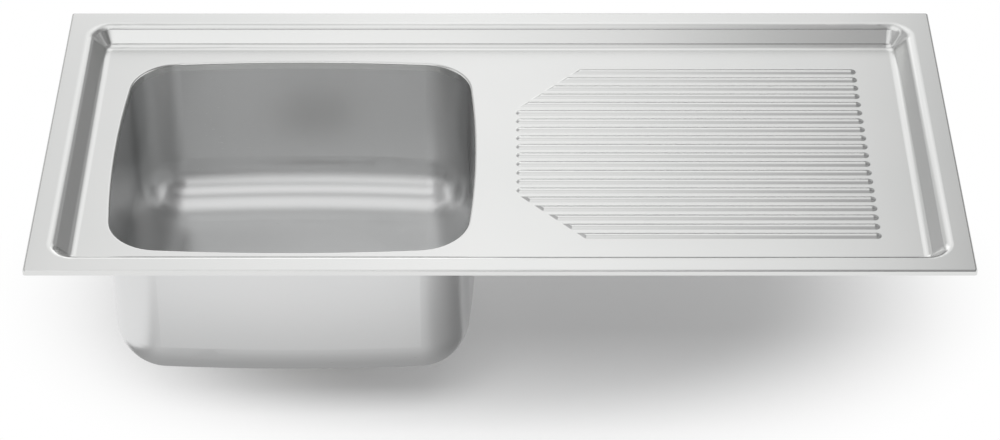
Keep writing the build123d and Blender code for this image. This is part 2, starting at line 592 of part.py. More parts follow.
def basket_knob():
    """A mushroom knob, bored for the stem."""
    foot = BASKET_FLOOR + STEM_LENGTH - KNOB_NECK
    shoulder = foot + KNOB_NECK
    top = foot + KNOB_HEIGHT
    knob = turned((0, foot), (KNOB_NECK, foot), (KNOB_NECK, shoulder - KNOB_UNDERCUT),
                  (KNOB_RADIUS, shoulder), (KNOB_RADIUS, top - KNOB_BEVEL), (KNOB_RADIUS - KNOB_BEVEL, top),
                  (0, top))
    return knob - disc(STEM_RADIUS, BASKET_FLOOR + STEM_LENGTH, KNOB_NECK)


# ---------------------------------------------------------------- the nodes
def at_drain(piece):
    return Pos(BOWL_X, BOWL_Y, 0) * piece


def nodes():
    made = {
        "sink_top": sink_top(),
        "bowl": bowl(),
        "rim_seal": rim_seal(),
        "bowl_pad": bowl_pad(),
        "drainer_pad": drainer_pad(),
        "earthing_tag": earthing_tag(),
        "flange_gasket": at_drain(ring(GASKET_OUTER, GASKET_INNER, FLANGE_UNDER, GASKET)),
        "strainer_flange": at_drain(strainer_flange()),
        "body_gasket": at_drain(ring(GASKET_OUTER, GASKET_INNER, SEAT_TOP - SHEET, BODY_GASKET)),
        "strainer_body": at_drain(strainer_body()),
        "insert_bush": at_drain(insert_bush()),
        "centre_screw": at_drain(centre_screw()),
        "basket": at_drain(basket()),
        "basket_seal": at_drain(basket_seal()),
        "basket_stem": at_drain(basket_stem()),
        "basket_knob": at_drain(basket_knob()),
    }
    places = clip_places()
    made["clip_brackets"] = Compound([place * clip_bracket() for place in places])
    made["clip_nuts"] = Compound([place * clip_nut() for place in places])
    for number, place in enumerate(places, start=1):
        made[f"clip_screw_{number}"] = place * clip_screw()
        made[f"clip_washer_{number}"] = place * clip_washer()
        made[f"clip_claw_{number}"] = place * clip_claw()
    return made


os.makedirs("parts", exist_ok=True)
for name, shape in nodes().items():
    export_step(shape, f"parts/{name}.step")
    print(name, round(shape.volume, 1))
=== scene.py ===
# %% [markdown]
# # An inset kitchen sink with a drainboard, dressed for its picture
# The construction comes packed from the CAD step: every piece is there at its real size and place.
# This script gives the pieces their finish, adds the detail that a plain solid lacks, and sets a
# studio around them. All lengths are metres, with X along the sink, Y to its back and Z up, and the
# origin on the worktop plane in the middle of the rim.

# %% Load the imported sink
import json
from math import cos, degrees, pi, radians, sin

import bmesh
import bpy
from mathutils import Matrix, Vector, noise

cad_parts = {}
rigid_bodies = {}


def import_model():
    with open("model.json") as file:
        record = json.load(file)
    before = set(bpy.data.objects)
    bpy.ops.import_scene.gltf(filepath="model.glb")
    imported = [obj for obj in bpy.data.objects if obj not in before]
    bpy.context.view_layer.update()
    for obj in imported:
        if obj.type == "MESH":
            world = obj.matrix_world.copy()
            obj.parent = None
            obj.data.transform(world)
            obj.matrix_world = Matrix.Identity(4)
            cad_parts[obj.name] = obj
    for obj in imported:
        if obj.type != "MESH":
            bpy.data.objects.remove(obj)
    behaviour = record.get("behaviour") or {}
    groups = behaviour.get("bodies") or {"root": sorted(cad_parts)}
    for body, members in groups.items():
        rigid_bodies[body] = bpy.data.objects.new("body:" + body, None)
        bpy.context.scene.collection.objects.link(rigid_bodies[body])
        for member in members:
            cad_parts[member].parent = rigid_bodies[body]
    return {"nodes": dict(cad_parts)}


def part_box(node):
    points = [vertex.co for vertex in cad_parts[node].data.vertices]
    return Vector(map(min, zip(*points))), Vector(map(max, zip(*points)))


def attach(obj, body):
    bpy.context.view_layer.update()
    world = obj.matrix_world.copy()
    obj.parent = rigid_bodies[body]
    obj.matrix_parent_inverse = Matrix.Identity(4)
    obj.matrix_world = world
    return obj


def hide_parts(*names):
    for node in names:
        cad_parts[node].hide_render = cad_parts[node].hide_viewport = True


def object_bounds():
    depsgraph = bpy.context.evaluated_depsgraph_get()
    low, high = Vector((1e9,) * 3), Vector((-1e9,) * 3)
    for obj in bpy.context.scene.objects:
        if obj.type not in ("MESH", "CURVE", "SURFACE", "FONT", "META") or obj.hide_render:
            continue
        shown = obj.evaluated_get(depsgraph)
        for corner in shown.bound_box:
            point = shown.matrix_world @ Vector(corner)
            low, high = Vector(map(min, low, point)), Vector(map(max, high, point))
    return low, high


for spare in list(bpy.data.objects):
    bpy.data.objects.remove(spare)
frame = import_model()
nodes = frame["nodes"]
cad_low, cad_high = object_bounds()
MM = 0.001
print("CAD box in mm:", [round(v / MM, 1) for v in (*cad_low, *cad_high)])

# %% [markdown]
# ## Camera
# The picture was taken from in front and above with a long lens: the rim's two long edges keep almost
# the same length. The place, tilt and focal length below were worked out from the four corners of the
# rim, so the render and the picture can be laid over each other.

# %% Camera
SENSOR = 36.0
camera = bpy.data.objects.new("camera", bpy.data.cameras.new("camera"))
camera.data.sensor_width = SENSOR
camera.data.lens = 117.894
camera.location = (0.0, -2.982, 2.0716)
camera.rotation_euler = (radians(53.8), 0.0, 0.0)
camera.data.clip_end = 50.0
bpy.context.scene.collection.objects.link(camera)
bpy.context.scene.camera = camera
bpy.context.scene.view_settings.view_transform = "Standard"
print("Camera tilt below the horizon:", round(90 - degrees(camera.rotation_euler.x), 1), "degrees")

# %% [markdown]
# ## A small kit for materials
# Colours are written as they look on a screen, in hex, and one function turns them into the linear
# values that the shader works with. `add` places one node, sets its inputs and makes its links, so
# that each finish below reads as a short list of what feeds what.


# %% Colour and node helpers
def linear(hex_colour):
    """An sRGB hex colour as linear red, green, blue and an alpha of 1."""
    channels = [int(hex_colour[i:i + 2], 16) / 255 for i in (1, 3, 5)]
    return [c / 12.92 if c <= 0.04045 else ((c + 0.055) / 1.055) ** 2.4 for c in channels] + [1.0]


def add(tree, kind, settings=None, stops=(), **inputs):
    """One node. settings are its properties, stops the marks of a colour ramp, and inputs are values
    or (node, output) links by socket name, or by socket number as i0, i1 and so on."""
    node = tree.nodes.new(kind)
    for name, value in (settings or {}).items():
        setattr(node, name, value)
    for index, (place, colour) in enumerate(stops):
        ramp = node.color_ramp.elements
        mark = ramp[index] if index < 2 else ramp.new(place)
        mark.position = place
        mark.color = colour
    for name, value in inputs.items():
        socket = node.inputs[int(name[1:])] if name[1:].isdigit() else node.inputs[name.replace("_", " ")]
        if isinstance(value, tuple) and hasattr(value[0], "outputs"):
            tree.links.new(value[0].outputs[value[1]], socket)
        else:
            socket.default_value = value
    return node


def new_material(name):
    """An empty material and its node tree."""
    material = bpy.data.materials.new(name)
    material.use_nodes = True
    material.node_tree.nodes.clear()
    return material, material.node_tree


print("Mid grey on the screen is", round(linear("#808080")[0], 3), "in the shader")

# %% [markdown]
# ## Satin stainless steel
# The sink is pressed from 18/10 stainless sheet, and its satin face was rubbed along its length with
# fine abrasive. To the eye that is a pale, neutral grey mirror that has lost its sharpness: whole
# panels of the room show in it, but no edges. The rubbing leaves scratches a few hundredths of a
# millimetre wide. They are drawn here 0.5 mm wide, as coarse as they need to be to show at all, as
# streaks in the roughness and a very shallow relief. Wide, slow clouds in the tone stand for the way
# the pressing stretched the sheet. The bowl was drawn deeper and is a little duller, and its steel is set a
# little darker.


# %% Satin stainless steel
SCRATCH = 0.5 * MM
CLOUD = 140 * MM
ROUGHNESS_SPREAD = 0.012


def satin_steel(name, pale, deep, roughness):
    """Rubbed sheet steel with a tone between pale and deep, at about one roughness."""
    material, tree = new_material(name)
    place = add(tree, "ShaderNodeTexCoord")
    along = add(tree, "ShaderNodeMapping", Vector=(place, "Object"), Scale=(0.03, 1.0, 1.0))
    streaks = add(tree, "ShaderNodeTexNoise", Vector=(along, "Vector"), Scale=1 / SCRATCH, Detail=2.0)
    clouds = add(tree, "ShaderNodeTexNoise", Vector=(place, "Object"), Scale=1 / CLOUD, Detail=1.0)
    spread = add(tree, "ShaderNodeMapRange", Value=(streaks, "Fac"), To_Min=roughness - ROUGHNESS_SPREAD,
                 To_Max=roughness + ROUGHNESS_SPREAD)
    tone = add(tree, "ShaderNodeMix", {"data_type": "RGBA"}, i0=(clouds, "Fac"), i6=linear(pale),
               i7=linear(deep))
    relief = add(tree, "ShaderNodeBump", Height=(streaks, "Fac"), Strength=0.1, Distance=0.001 * MM)
    surface = add(tree, "ShaderNodeBsdfPrincipled", Metallic=1.0, Base_Color=(tone, 2),
                  Roughness=(spread, "Result"), Normal=(relief, "Normal"))
    add(tree, "ShaderNodeOutputMaterial", Surface=(surface, "BSDF"))
    return material


steel_top = satin_steel("satin_rubbed_stainless_top", "#E2E2E1", "#DDDEDD", 0.20)
steel_bowl = satin_steel("satin_rubbed_stainless_bowl", "#DDDDDD", "#D9DADA", 0.28)
print("Satin steel:", steel_top.name, steel_bowl.name)

# %% [markdown]
# ## Bright stainless steel
# The drain flange, the basket, its knob and the centre screw are pressed or turned from the same
# alloy and then polished in a drum. The eye sees a paler steel than the sheet's, with tiny random
# ripples and no grain, so the relief is soft and round, 2 mm across. The roughness is that of the
# bowl's satin, because the picture's bowl has no dark patch where a sharper drain would be mirrored.

# %% Bright stainless steel
steel_bright, tree = new_material("drum_polished_stainless")
place = add(tree, "ShaderNodeTexCoord")
ripples = add(tree, "ShaderNodeTexNoise", Vector=(place, "Object"), Scale=1 / (2.0 * MM), Detail=2.0)
wear = add(tree, "ShaderNodeTexNoise", Vector=(place, "Object"), Scale=1 / (9.0 * MM), Detail=3.0)
spread = add(tree, "ShaderNodeMapRange", Value=(wear, "Fac"), To_Min=0.26, To_Max=0.34)
tone = add(tree, "ShaderNodeMix", {"data_type": "RGBA"}, i0=(wear, "Fac"), i6=linear("#EFEFEE"),
           i7=linear("#E6E6E6"))
relief = add(tree, "ShaderNodeBump", Height=(ripples, "Fac"), Strength=0.2, Distance=0.01 * MM)
surface = add(tree, "ShaderNodeBsdfPrincipled", Metallic=1.0, Base_Color=(tone, 2),
              Roughness=(spread, "Result"), Normal=(relief, "Normal"))
add(tree, "ShaderNodeOutputMaterial", Surface=(surface, "BSDF"))
print("Bright steel:", steel_bright.name)

# %% [markdown]
# ## Clear zinc plating
# The fixing clips are punched and formed from mild steel and zinc plated with a clear blue
# passivation. To the eye that is a cool grey metal, duller than stainless, which is cloudy in patches
# of a few millimetres and has a faint yellow or blue cast that wanders over each piece.

# %% Clear zinc plating
zinc, tree = new_material("clear_zinc_plated_steel")
place = add(tree, "ShaderNodeTexCoord")
patches = add(tree, "ShaderNodeTexNoise", Vector=(place, "Object"), Scale=1 / (5.0 * MM), Detail=3.0)
grain = add(tree, "ShaderNodeTexVoronoi", Vector=(place, "Object"), Scale=1 / (0.7 * MM))
tone = add(tree, "ShaderNodeValToRGB", stops=[(0.30, linear("#AEB9C4")), (0.52, linear("#BBC0C4")),
                                              (0.72, linear("#C4C1B2"))], Fac=(patches, "Fac"))
spread = add(tree, "ShaderNodeMapRange", Value=(patches, "Fac"), To_Min=0.26, To_Max=0.46)
relief = add(tree, "ShaderNodeBump", Height=(grain, "Distance"), Strength=0.25, Distance=0.02 * MM)
surface = add(tree, "ShaderNodeBsdfPrincipled", Metallic=1.0, Base_Color=(tone, "Color"),
              Roughness=(spread, "Result"), Normal=(relief, "Normal"))
add(tree, "ShaderNodeOutputMaterial", Surface=(surface, "BSDF"))
print("Zinc:", zinc.name)

# %% [markdown]
# ## Moulded black rubber
# The gaskets and the basket's ring are moulded EPDM rubber. It is a soft black that never gets a
# sharp highlight, with a slight grey bloom in patches, and the mould leaves it finely matt.

# %% Moulded black rubber
rubber, tree = new_material("moulded_black_epdm_rubber")
place = add(tree, "ShaderNodeTexCoord")
bloom = add(tree, "ShaderNodeTexNoise", Vector=(place, "Object"), Scale=1 / (12.0 * MM), Detail=3.0)
matt = add(tree, "ShaderNodeTexNoise", Vector=(place, "Object"), Scale=1 / (0.3 * MM), Detail=2.0)
tone = add(tree, "ShaderNodeValToRGB", stops=[(0.35, linear("#1A1A1B")), (0.70, linear("#2B2B2C"))],
           Fac=(bloom, "Fac"))
spread = add(tree, "ShaderNodeMapRange", Value=(bloom, "Fac"), To_Min=0.52, To_Max=0.74)
relief = add(tree, "ShaderNodeBump", Height=(matt, "Fac"), Strength=0.35, Distance=0.03 * MM)
surface = add(tree, "ShaderNodeBsdfPrincipled", Base_Color=(tone, "Color"), Roughness=(spread, "Result"),
              IOR=1.52, Normal=(relief, "Normal"))
add(tree, "ShaderNodeOutputMaterial", Surface=(surface, "BSDF"))
print("Rubber:", rubber.name)

# %% [markdown]
# ## Closed-cell foam
# The strip that seals the rim to the worktop is black polyethylene foam. Its skin is full of small
# closed bubbles, about 0.8 mm across, that catch the light as a fine pebble, and it has no gloss. The
# bubbles are raised by a bump, and their colour is painted as well: lighter in each middle and darker
# between them, as painted highlight and painted shade. Patches of wear darken it a little at random.
# A little sheen stands for the light that the bubbles' thin walls scatter at a low angle.

# %% Closed-cell foam
foam, tree = new_material("closed_cell_polyethylene_foam")
place = add(tree, "ShaderNodeTexCoord")
bubbles = add(tree, "ShaderNodeTexVoronoi", Vector=(place, "Object"), Scale=1 / (0.8 * MM))
uneven = add(tree, "ShaderNodeTexNoise", Vector=(place, "Object"), Scale=1 / (14.0 * MM), Detail=2.0)
# Painted highlight and shade: each bubble is lighter in its middle and darker where it meets the next.
tone = add(tree, "ShaderNodeValToRGB", stops=[(0.0, linear("#3A3B3C")), (0.55, linear("#262728")),
                                              (1.0, linear("#151516"))], Fac=(bubbles, "Distance"))
painted_bubble_shade_and_wear = add(tree, "ShaderNodeMix", {"data_type": "RGBA", "blend_type": "MULTIPLY"}, i0=0.35,
           i6=(tone, "Color"), i7=(uneven, "Color"))
relief = add(tree, "ShaderNodeBump", {"invert": True}, Height=(bubbles, "Distance"), Strength=0.7,
             Distance=0.15 * MM)
surface = add(tree, "ShaderNodeBsdfPrincipled", Base_Color=(painted_bubble_shade_and_wear, 2), Roughness=0.92, Sheen_Weight=0.15,
              Normal=(relief, "Normal"))
add(tree, "ShaderNodeOutputMaterial", Surface=(surface, "BSDF"))
print("Foam:", foam.name)

# %% [markdown]
# ## Sound-deadening bitumen pad
# The pads under the bowl and the drainboard are filled bitumen sheet, rolled with a linen weave while
# warm. The eye sees a dark grey, dry surface with a fine cross pattern and pale mineral specks. The
# weave is 1.6 mm from thread to thread, made by two sets of bands at right angles.

# %% Sound-deadening bitumen pad
bitumen, tree = new_material("linen_rolled_bitumen_sheet")
place = add(tree, "ShaderNodeTexCoord")
warp = add(tree, "ShaderNodeTexWave", {"bands_direction": "X"}, Vector=(place, "Object"),
           Scale=2 * pi / (20 * 1.6 * MM), Distortion=0.6)
weft = add(tree, "ShaderNodeTexWave", {"bands_direction": "Y"}, Vector=(place, "Object"),
           Scale=2 * pi / (20 * 1.6 * MM), Distortion=0.6)
weave = add(tree, "ShaderNodeMath", {"operation": "MULTIPLY"}, i0=(warp, "Fac"), i1=(weft, "Fac"))
specks = add(tree, "ShaderNodeTexVoronoi", Vector=(place, "Object"), Scale=1 / (2.2 * MM))
patches = add(tree, "ShaderNodeTexNoise", Vector=(place, "Object"), Scale=1 / (35.0 * MM), Detail=3.0)
base = add(tree, "ShaderNodeValToRGB", stops=[(0.3, linear("#46474A")), (0.7, linear("#55565A"))],
           Fac=(patches, "Fac"))
dots = add(tree, "ShaderNodeMapRange", Value=(specks, "Distance"), From_Min=0.10, From_Max=0.22,
           To_Min=0.5, To_Max=0.0)
tone = add(tree, "ShaderNodeMix", {"data_type": "RGBA"}, i0=(dots, "Result"), i6=(base, "Color"),
           i7=linear("#8E8E8C"))
relief = add(tree, "ShaderNodeBump", Height=(weave, "Value"), Strength=0.8, Distance=0.25 * MM)
surface = add(tree, "ShaderNodeBsdfPrincipled", Base_Color=(tone, 2), Roughness=0.86,
              Normal=(relief, "Normal"))
add(tree, "ShaderNodeOutputMaterial", Surface=(surface, "BSDF"))
print("Pad:", bitumen.name)

# %% [markdown]
# ## White polypropylene
# The outlet body is injection moulded in white polypropylene. It is a warm white with a waxy gloss,
# slightly translucent at its thin edges, and the mould's spark-eroded faces give it a fine even grain.

# %% White polypropylene
plastic, tree = new_material("moulded_white_polypropylene")
place = add(tree, "ShaderNodeTexCoord")
flow = add(tree, "ShaderNodeTexNoise", Vector=(place, "Object"), Scale=1 / (25.0 * MM), Detail=2.0)
grain = add(tree, "ShaderNodeTexNoise", Vector=(place, "Object"), Scale=1 / (0.4 * MM), Detail=2.0)
tone = add(tree, "ShaderNodeValToRGB", stops=[(0.3, linear("#E2E0D8")), (0.7, linear("#EBEAE4"))],
           Fac=(flow, "Fac"))
spread = add(tree, "ShaderNodeMapRange", Value=(flow, "Fac"), To_Min=0.34, To_Max=0.46)
relief = add(tree, "ShaderNodeBump", Height=(grain, "Fac"), Strength=0.25, Distance=0.02 * MM)
surface = add(tree, "ShaderNodeBsdfPrincipled", Base_Color=(tone, "Color"), Roughness=(spread, "Result"),
              IOR=1.49, Subsurface_Weight=0.15, Subsurface_Scale=2.0 * MM, Normal=(relief, "Normal"))
add(tree, "ShaderNodeOutputMaterial", Surface=(surface, "BSDF"))
print("Plastic:", plastic.name)

# %% [markdown]
# ## Turned brass
# The bush that takes the centre screw is turned from brass bar. The tool leaves fine rings round its
# axis, 0.25 mm apart, which pull the highlight out into a streak. The rings are bands of height along
# the bush, because the tool travels along it.

# %% Turned brass
brass, tree = new_material("turned_brass")
place = add(tree, "ShaderNodeTexCoord")
rings = add(tree, "ShaderNodeTexWave", {"bands_direction": "Z"}, Vector=(place, "Object"),
            Scale=2 * pi / (20 * 0.25 * MM))
stain = add(tree, "ShaderNodeTexNoise", Vector=(place, "Object"), Scale=1 / (4.0 * MM), Detail=3.0)
tone = add(tree, "ShaderNodeValToRGB", stops=[(0.3, linear("#B8934A")), (0.7, linear("#D3B06A"))],
           Fac=(stain, "Fac"))
relief = add(tree, "ShaderNodeBump", Height=(rings, "Fac"), Strength=0.3, Distance=0.02 * MM)
surface = add(tree, "ShaderNodeBsdfPrincipled", Metallic=1.0, Base_Color=(tone, "Color"), Roughness=0.24,
              Normal=(relief, "Normal"))
add(tree, "ShaderNodeOutputMaterial", Surface=(surface, "BSDF"))
print("Brass:", brass.name)

# %% [markdown]
# ## Dress the CAD pieces
# Each CAD piece keeps its mesh and gets its finish in all of its material slots. What it is made of
# follows the real sink: one alloy for everything that gets wet, zinc for the clips, white plastic for
# the outlet, black rubber and foam where it seals, and bitumen where it has to be quiet.

# %% Dress the CAD pieces
clips = [name for name in nodes if name.startswith("clip_")]
finishes = {
    steel_top: ["sink_top"],
    steel_bowl: ["bowl"],
    steel_bright: ["strainer_flange", "basket", "basket_stem", "basket_knob", "centre_screw",
                   "earthing_tag"],
    zinc: clips,
    rubber: ["flange_gasket", "body_gasket", "basket_seal"],
    foam: ["rim_seal"],
    bitumen: ["bowl_pad", "drainer_pad"],
    plastic: ["strainer_body"],
    brass: ["insert_bush"],
}
for material, names in finishes.items():
    for name in names:
        slots = nodes[name].data.materials
        for index in range(len(slots)):
            slots[index] = material
dressed = sum(len(names) for names in finishes.values())
print("Dressed", dressed, "of", len(nodes), "CAD pieces")

# %% [markdown]
# ## Pieces that stand for CAD solids
# Soft pieces and threads look wrong as plain solids, so each of them is made again here in the space
# that its solid holds. A new piece says which solid it stands for, which body it rides on and which
# finish it takes. The function below does that for all of them, and prints how many edges are open.


# %% Finish a new piece
def finished(name, shape, material, node, body, smooth=40.0):
    """Turns a bmesh into a piece that replaces a CAD node. Edges sharper than smooth stay sharp."""
    bmesh.ops.recalc_face_normals(shape, faces=shape.faces)
    for face in shape.faces:
        face.smooth = True
    for edge in shape.edges:
        edge.smooth = edge.is_manifold and edge.calc_face_angle() < radians(smooth)
    open_edges = sum(not edge.is_manifold for edge in shape.edges)
    mesh = bpy.data.meshes.new(name)
    shape.to_mesh(mesh)
    shape.free()
    mesh.materials.append(material)
    piece = bpy.data.objects.new(name, mesh)
    bpy.context.scene.collection.objects.link(piece)
    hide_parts(node)
    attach(piece, body)
    print(name, "-", len(mesh.polygons), "faces,", open_edges, "open edges")


# %% [markdown]
# ## Foam strip under the rim
# The seal is cut from a roll of self-adhesive foam. Two long strips run the whole length and two
# short ones fit between them, with a hair's gap at each butt joint. A strip has round edges, because
# its skin pulls in, and its free face is never quite level after it has been pressed on by hand.
# Each strip starts as a box, gets its edges bevelled and its length divided, and a little noise moves
# the points of its free face.

# %% Foam strip under the rim
STRIP_WIDTH = 9.0 * MM
STRIP_EDGE = 1.6 * MM
STRIP_STEP = 6.0 * MM
JOINT_GAP = 0.4 * MM
WAVER = 0.45 * MM
WAVER_LENGTH = 18 * MM
seal_low, seal_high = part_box("rim_seal")


def foam_bar(shape, low, high):
    """One strip from corner low to corner high."""
    made = bmesh.ops.create_cube(shape, size=1.0)["verts"]
    bmesh.ops.scale(shape, vec=high - low, verts=made)
    bmesh.ops.translate(shape, vec=(low + high) / 2, verts=made)
    edges = list({edge for vert in made for edge in vert.link_edges})
    bmesh.ops.bevel(shape, geom=edges, offset=STRIP_EDGE, segments=3, profile=0.5,
                    affect="EDGES", material=-1)
    length = max(high - low)
    long_edges = [edge for edge in shape.edges if edge.calc_length() > length * 0.9]
    bmesh.ops.subdivide_edges(shape, edges=long_edges, cuts=int(length / STRIP_STEP), use_grid_fill=True)


shape = bmesh.new()
top = seal_high.z
for y_low, y_high in ((seal_low.y, seal_low.y + STRIP_WIDTH), (seal_high.y - STRIP_WIDTH, seal_high.y)):
    foam_bar(shape, Vector((seal_low.x, y_low, seal_low.z)), Vector((seal_high.x, y_high, top)))
inset = STRIP_WIDTH + JOINT_GAP
for x_low, x_high in ((seal_low.x, seal_low.x + STRIP_WIDTH), (seal_high.x - STRIP_WIDTH, seal_high.x)):
    foam_bar(shape, Vector((x_low, seal_low.y + inset, seal_low.z)),
             Vector((x_high, seal_high.y - inset, top)))
for vert in shape.verts:
    share = (top - vert.co.z) / (top - seal_low.z)
    vert.co.z += share * WAVER * (1.0 + noise.noise(vert.co / WAVER_LENGTH))
finished("rim_seal_foam_strips", shape, foam, "rim_seal", "sink")

# %% [markdown]
# ## Drainboard pad
# Both pads are die-cut from warm sheet, so their free edges are a little rounded. The drainboard's
# pad is a flat rectangle with round corners, glued under the ribs. It is a grid of one face with its
# corners bevelled, pulled down to its thickness, and then the edges of its free face are bevelled.

# %% Drainboard pad
PAD_CORNER = 12.0 * MM
PAD_EDGE = 0.9 * MM
pad_low, pad_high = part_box("drainer_pad")

shape = bmesh.new()
bmesh.ops.create_grid(shape, x_segments=1, y_segments=1, size=0.5)
bmesh.ops.scale(shape, vec=(pad_high.x - pad_low.x, pad_high.y - pad_low.y, 1.0), verts=shape.verts)
bmesh.ops.bevel(shape, geom=list(shape.verts), offset=PAD_CORNER, segments=8, profile=0.5,
                affect="VERTICES", material=-1)
bmesh.ops.translate(shape, vec=((pad_low.x + pad_high.x) / 2, (pad_low.y + pad_high.y) / 2, pad_high.z),
                    verts=shape.verts)
upper = list(shape.faces)
pulled = bmesh.ops.extrude_face_region(shape, geom=upper, use_keep_orig=True)["geom"]
lower = [item for item in pulled if isinstance(item, bmesh.types.BMVert)]
bmesh.ops.translate(shape, vec=(0.0, 0.0, pad_low.z - pad_high.z), verts=lower)
rim_edges = [edge for edge in shape.edges
             if all(vert in lower for vert in edge.verts) and len(edge.link_faces) == 2]
bmesh.ops.bevel(shape, geom=rim_edges, offset=PAD_EDGE, segments=3, profile=0.5,
                affect="EDGES", material=-1)
finished("drainer_pad_sheet", shape, bitumen, "drainer_pad", "sink")

# %% [markdown]
# ## Bowl pad, and how a ring is turned
# The bowl's pad is a ring round the drain that follows the fall of the floor. Like the rubber rings
# further on it is round and has one section all the way, so it is made as a turner would: the section
# is drawn beside the axis, its corners are rounded, and a full spin carries it round the drain.

# %% Bowl pad, and how a ring is turned
RING_STEPS = 96
PAD_INNER = 72.0
PAD_OUTER = 116.0
PAD_THICKNESS = 2.5
flange_low, flange_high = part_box("strainer_flange")
DRAIN_X = (flange_low.x + flange_high.x) / 2
DRAIN_Y = (flange_low.y + flange_high.y) / 2


def turned_ring(section, edge_radius):
    """A ring from a closed section of (radius, height) points in mm, its edges rounded, then turned."""
    shape = bmesh.new()
    points = [shape.verts.new((DRAIN_X + radius * MM, DRAIN_Y, height * MM)) for radius, height in section]
    for first, second in zip(points, points[1:] + points[:1]):
        shape.edges.new((first, second))
    bmesh.ops.bevel(shape, geom=points, offset=edge_radius * MM, segments=3, profile=0.5,
                    affect="VERTICES", material=-1)
    bmesh.ops.spin(shape, geom=[*shape.verts, *shape.edges], cent=(DRAIN_X, DRAIN_Y, 0.0),
                   axis=(0.0, 0.0, 1.0), angle=2 * pi, steps=RING_STEPS, use_merge=True)
    return shape


low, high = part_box("bowl_pad")
section = [(PAD_INNER, low.z / MM + PAD_THICKNESS), (PAD_OUTER, high.z / MM),
           (PAD_OUTER, high.z / MM - PAD_THICKNESS), (PAD_INNER, low.z / MM)]
finished("bowl_pad_sheet", turned_ring(section, 0.6), bitumen, "bowl_pad", "sink")

# %% [markdown]
# ## Rubber rings
# The two gaskets are moulded flat rings with round edges, one above and one below the bowl's floor.
# The basket's ring has the taper of the flange's seat, and a small groove round it leaves two soft
# lips that do the sealing. It goes up with the basket.

# %% Rubber rings
GASKET_INNER = 47.5
GASKET_OUTER = 55.0
for node in ("flange_gasket", "body_gasket"):
    low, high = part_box(node)
    section = [(GASKET_INNER, low.z / MM), (GASKET_OUTER, low.z / MM),
               (GASKET_OUTER, high.z / MM), (GASKET_INNER, high.z / MM)]
    finished(node + "_ring", turned_ring(section, 0.35), rubber, node, "sink")
low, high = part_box("basket_seal")
seal_foot = low.z / MM
seal_top = high.z / MM
section = [(37.8, seal_foot), (39.75, seal_foot), (40.35, seal_foot + 0.55), (40.2, seal_foot + 1.0),
           (41.3, seal_foot + 1.4), (41.95, seal_top), (37.8, seal_top)]
finished("basket_seal_ring", turned_ring(section, 0.15), rubber, "basket_seal", "basket_lift_out")

# %% [markdown]
# ## Clip screws
# Eight M6 screws pull the clips tight. Each is turned and rolled from wire: a pan head with a slot,
# and a real thread with a 1 mm pitch. The thread is one tooth, two edges high, that climbs as it
# turns: spin takes a small step upwards with each step round. The tube that this gives is cut square
# at both ends and closed. The head is a turned section. Its slot is cut by planes, the faces between
# them are taken out, and the slot's walls and floor are filled in.

# %% Clip screws
SCREW_PITCH = 1.0 * MM
SCREW_CREST = 2.98 * MM
SCREW_ROOT = 2.40 * MM
HEAD_RADIUS = 5.0 * MM
HEAD_HEIGHT = 4.0 * MM
SLOT_WIDTH = 1.4 * MM
SLOT_DEPTH = 2.0 * MM
TURN_STEPS = 18
HEAD_STEPS = 36
SAME_POINT = 0.002 * MM
SAME_PLACE = 0.001 * MM
UP = Vector((0.0, 0.0, 1.0))


def cut(shape, point, normal, away=False):
    """Cuts the whole shape by a plane; away takes off what lies on the normal's side."""
    bmesh.ops.bisect_plane(shape, geom=[*shape.verts, *shape.edges, *shape.faces], plane_co=point,
                           plane_no=normal, clear_outer=away)


def threaded_rod(x, y, foot, top):
    """A closed rod with a real thread. It starts below foot, so both square cuts meet full turns."""
    shape = bmesh.new()
    start = foot - 1.5 * SCREW_PITCH
    tooth = [(SCREW_ROOT, 0.0), (SCREW_CREST, 0.42), (SCREW_CREST, 0.58), (SCREW_ROOT, 1.0)]
    chain = [shape.verts.new((x + radius, y, start + rise * SCREW_PITCH)) for radius, rise in tooth]
    edges = [shape.edges.new(pair) for pair in zip(chain, chain[1:])]
    turns = int((top - foot) / SCREW_PITCH) + 3
    bmesh.ops.spin(shape, geom=[*chain, *edges], cent=(x, y, 0.0), axis=UP, angle=2 * pi * turns,
                   steps=TURN_STEPS * turns, dvec=UP * (SCREW_PITCH / TURN_STEPS))
    bmesh.ops.remove_doubles(shape, verts=shape.verts, dist=SAME_POINT)
    cut(shape, (x, y, top), UP, away=True)
    cut(shape, (x, y, foot), -UP, away=True)
    bmesh.ops.holes_fill(shape, edges=[edge for edge in shape.edges if edge.is_boundary], sides=0)
    return shape


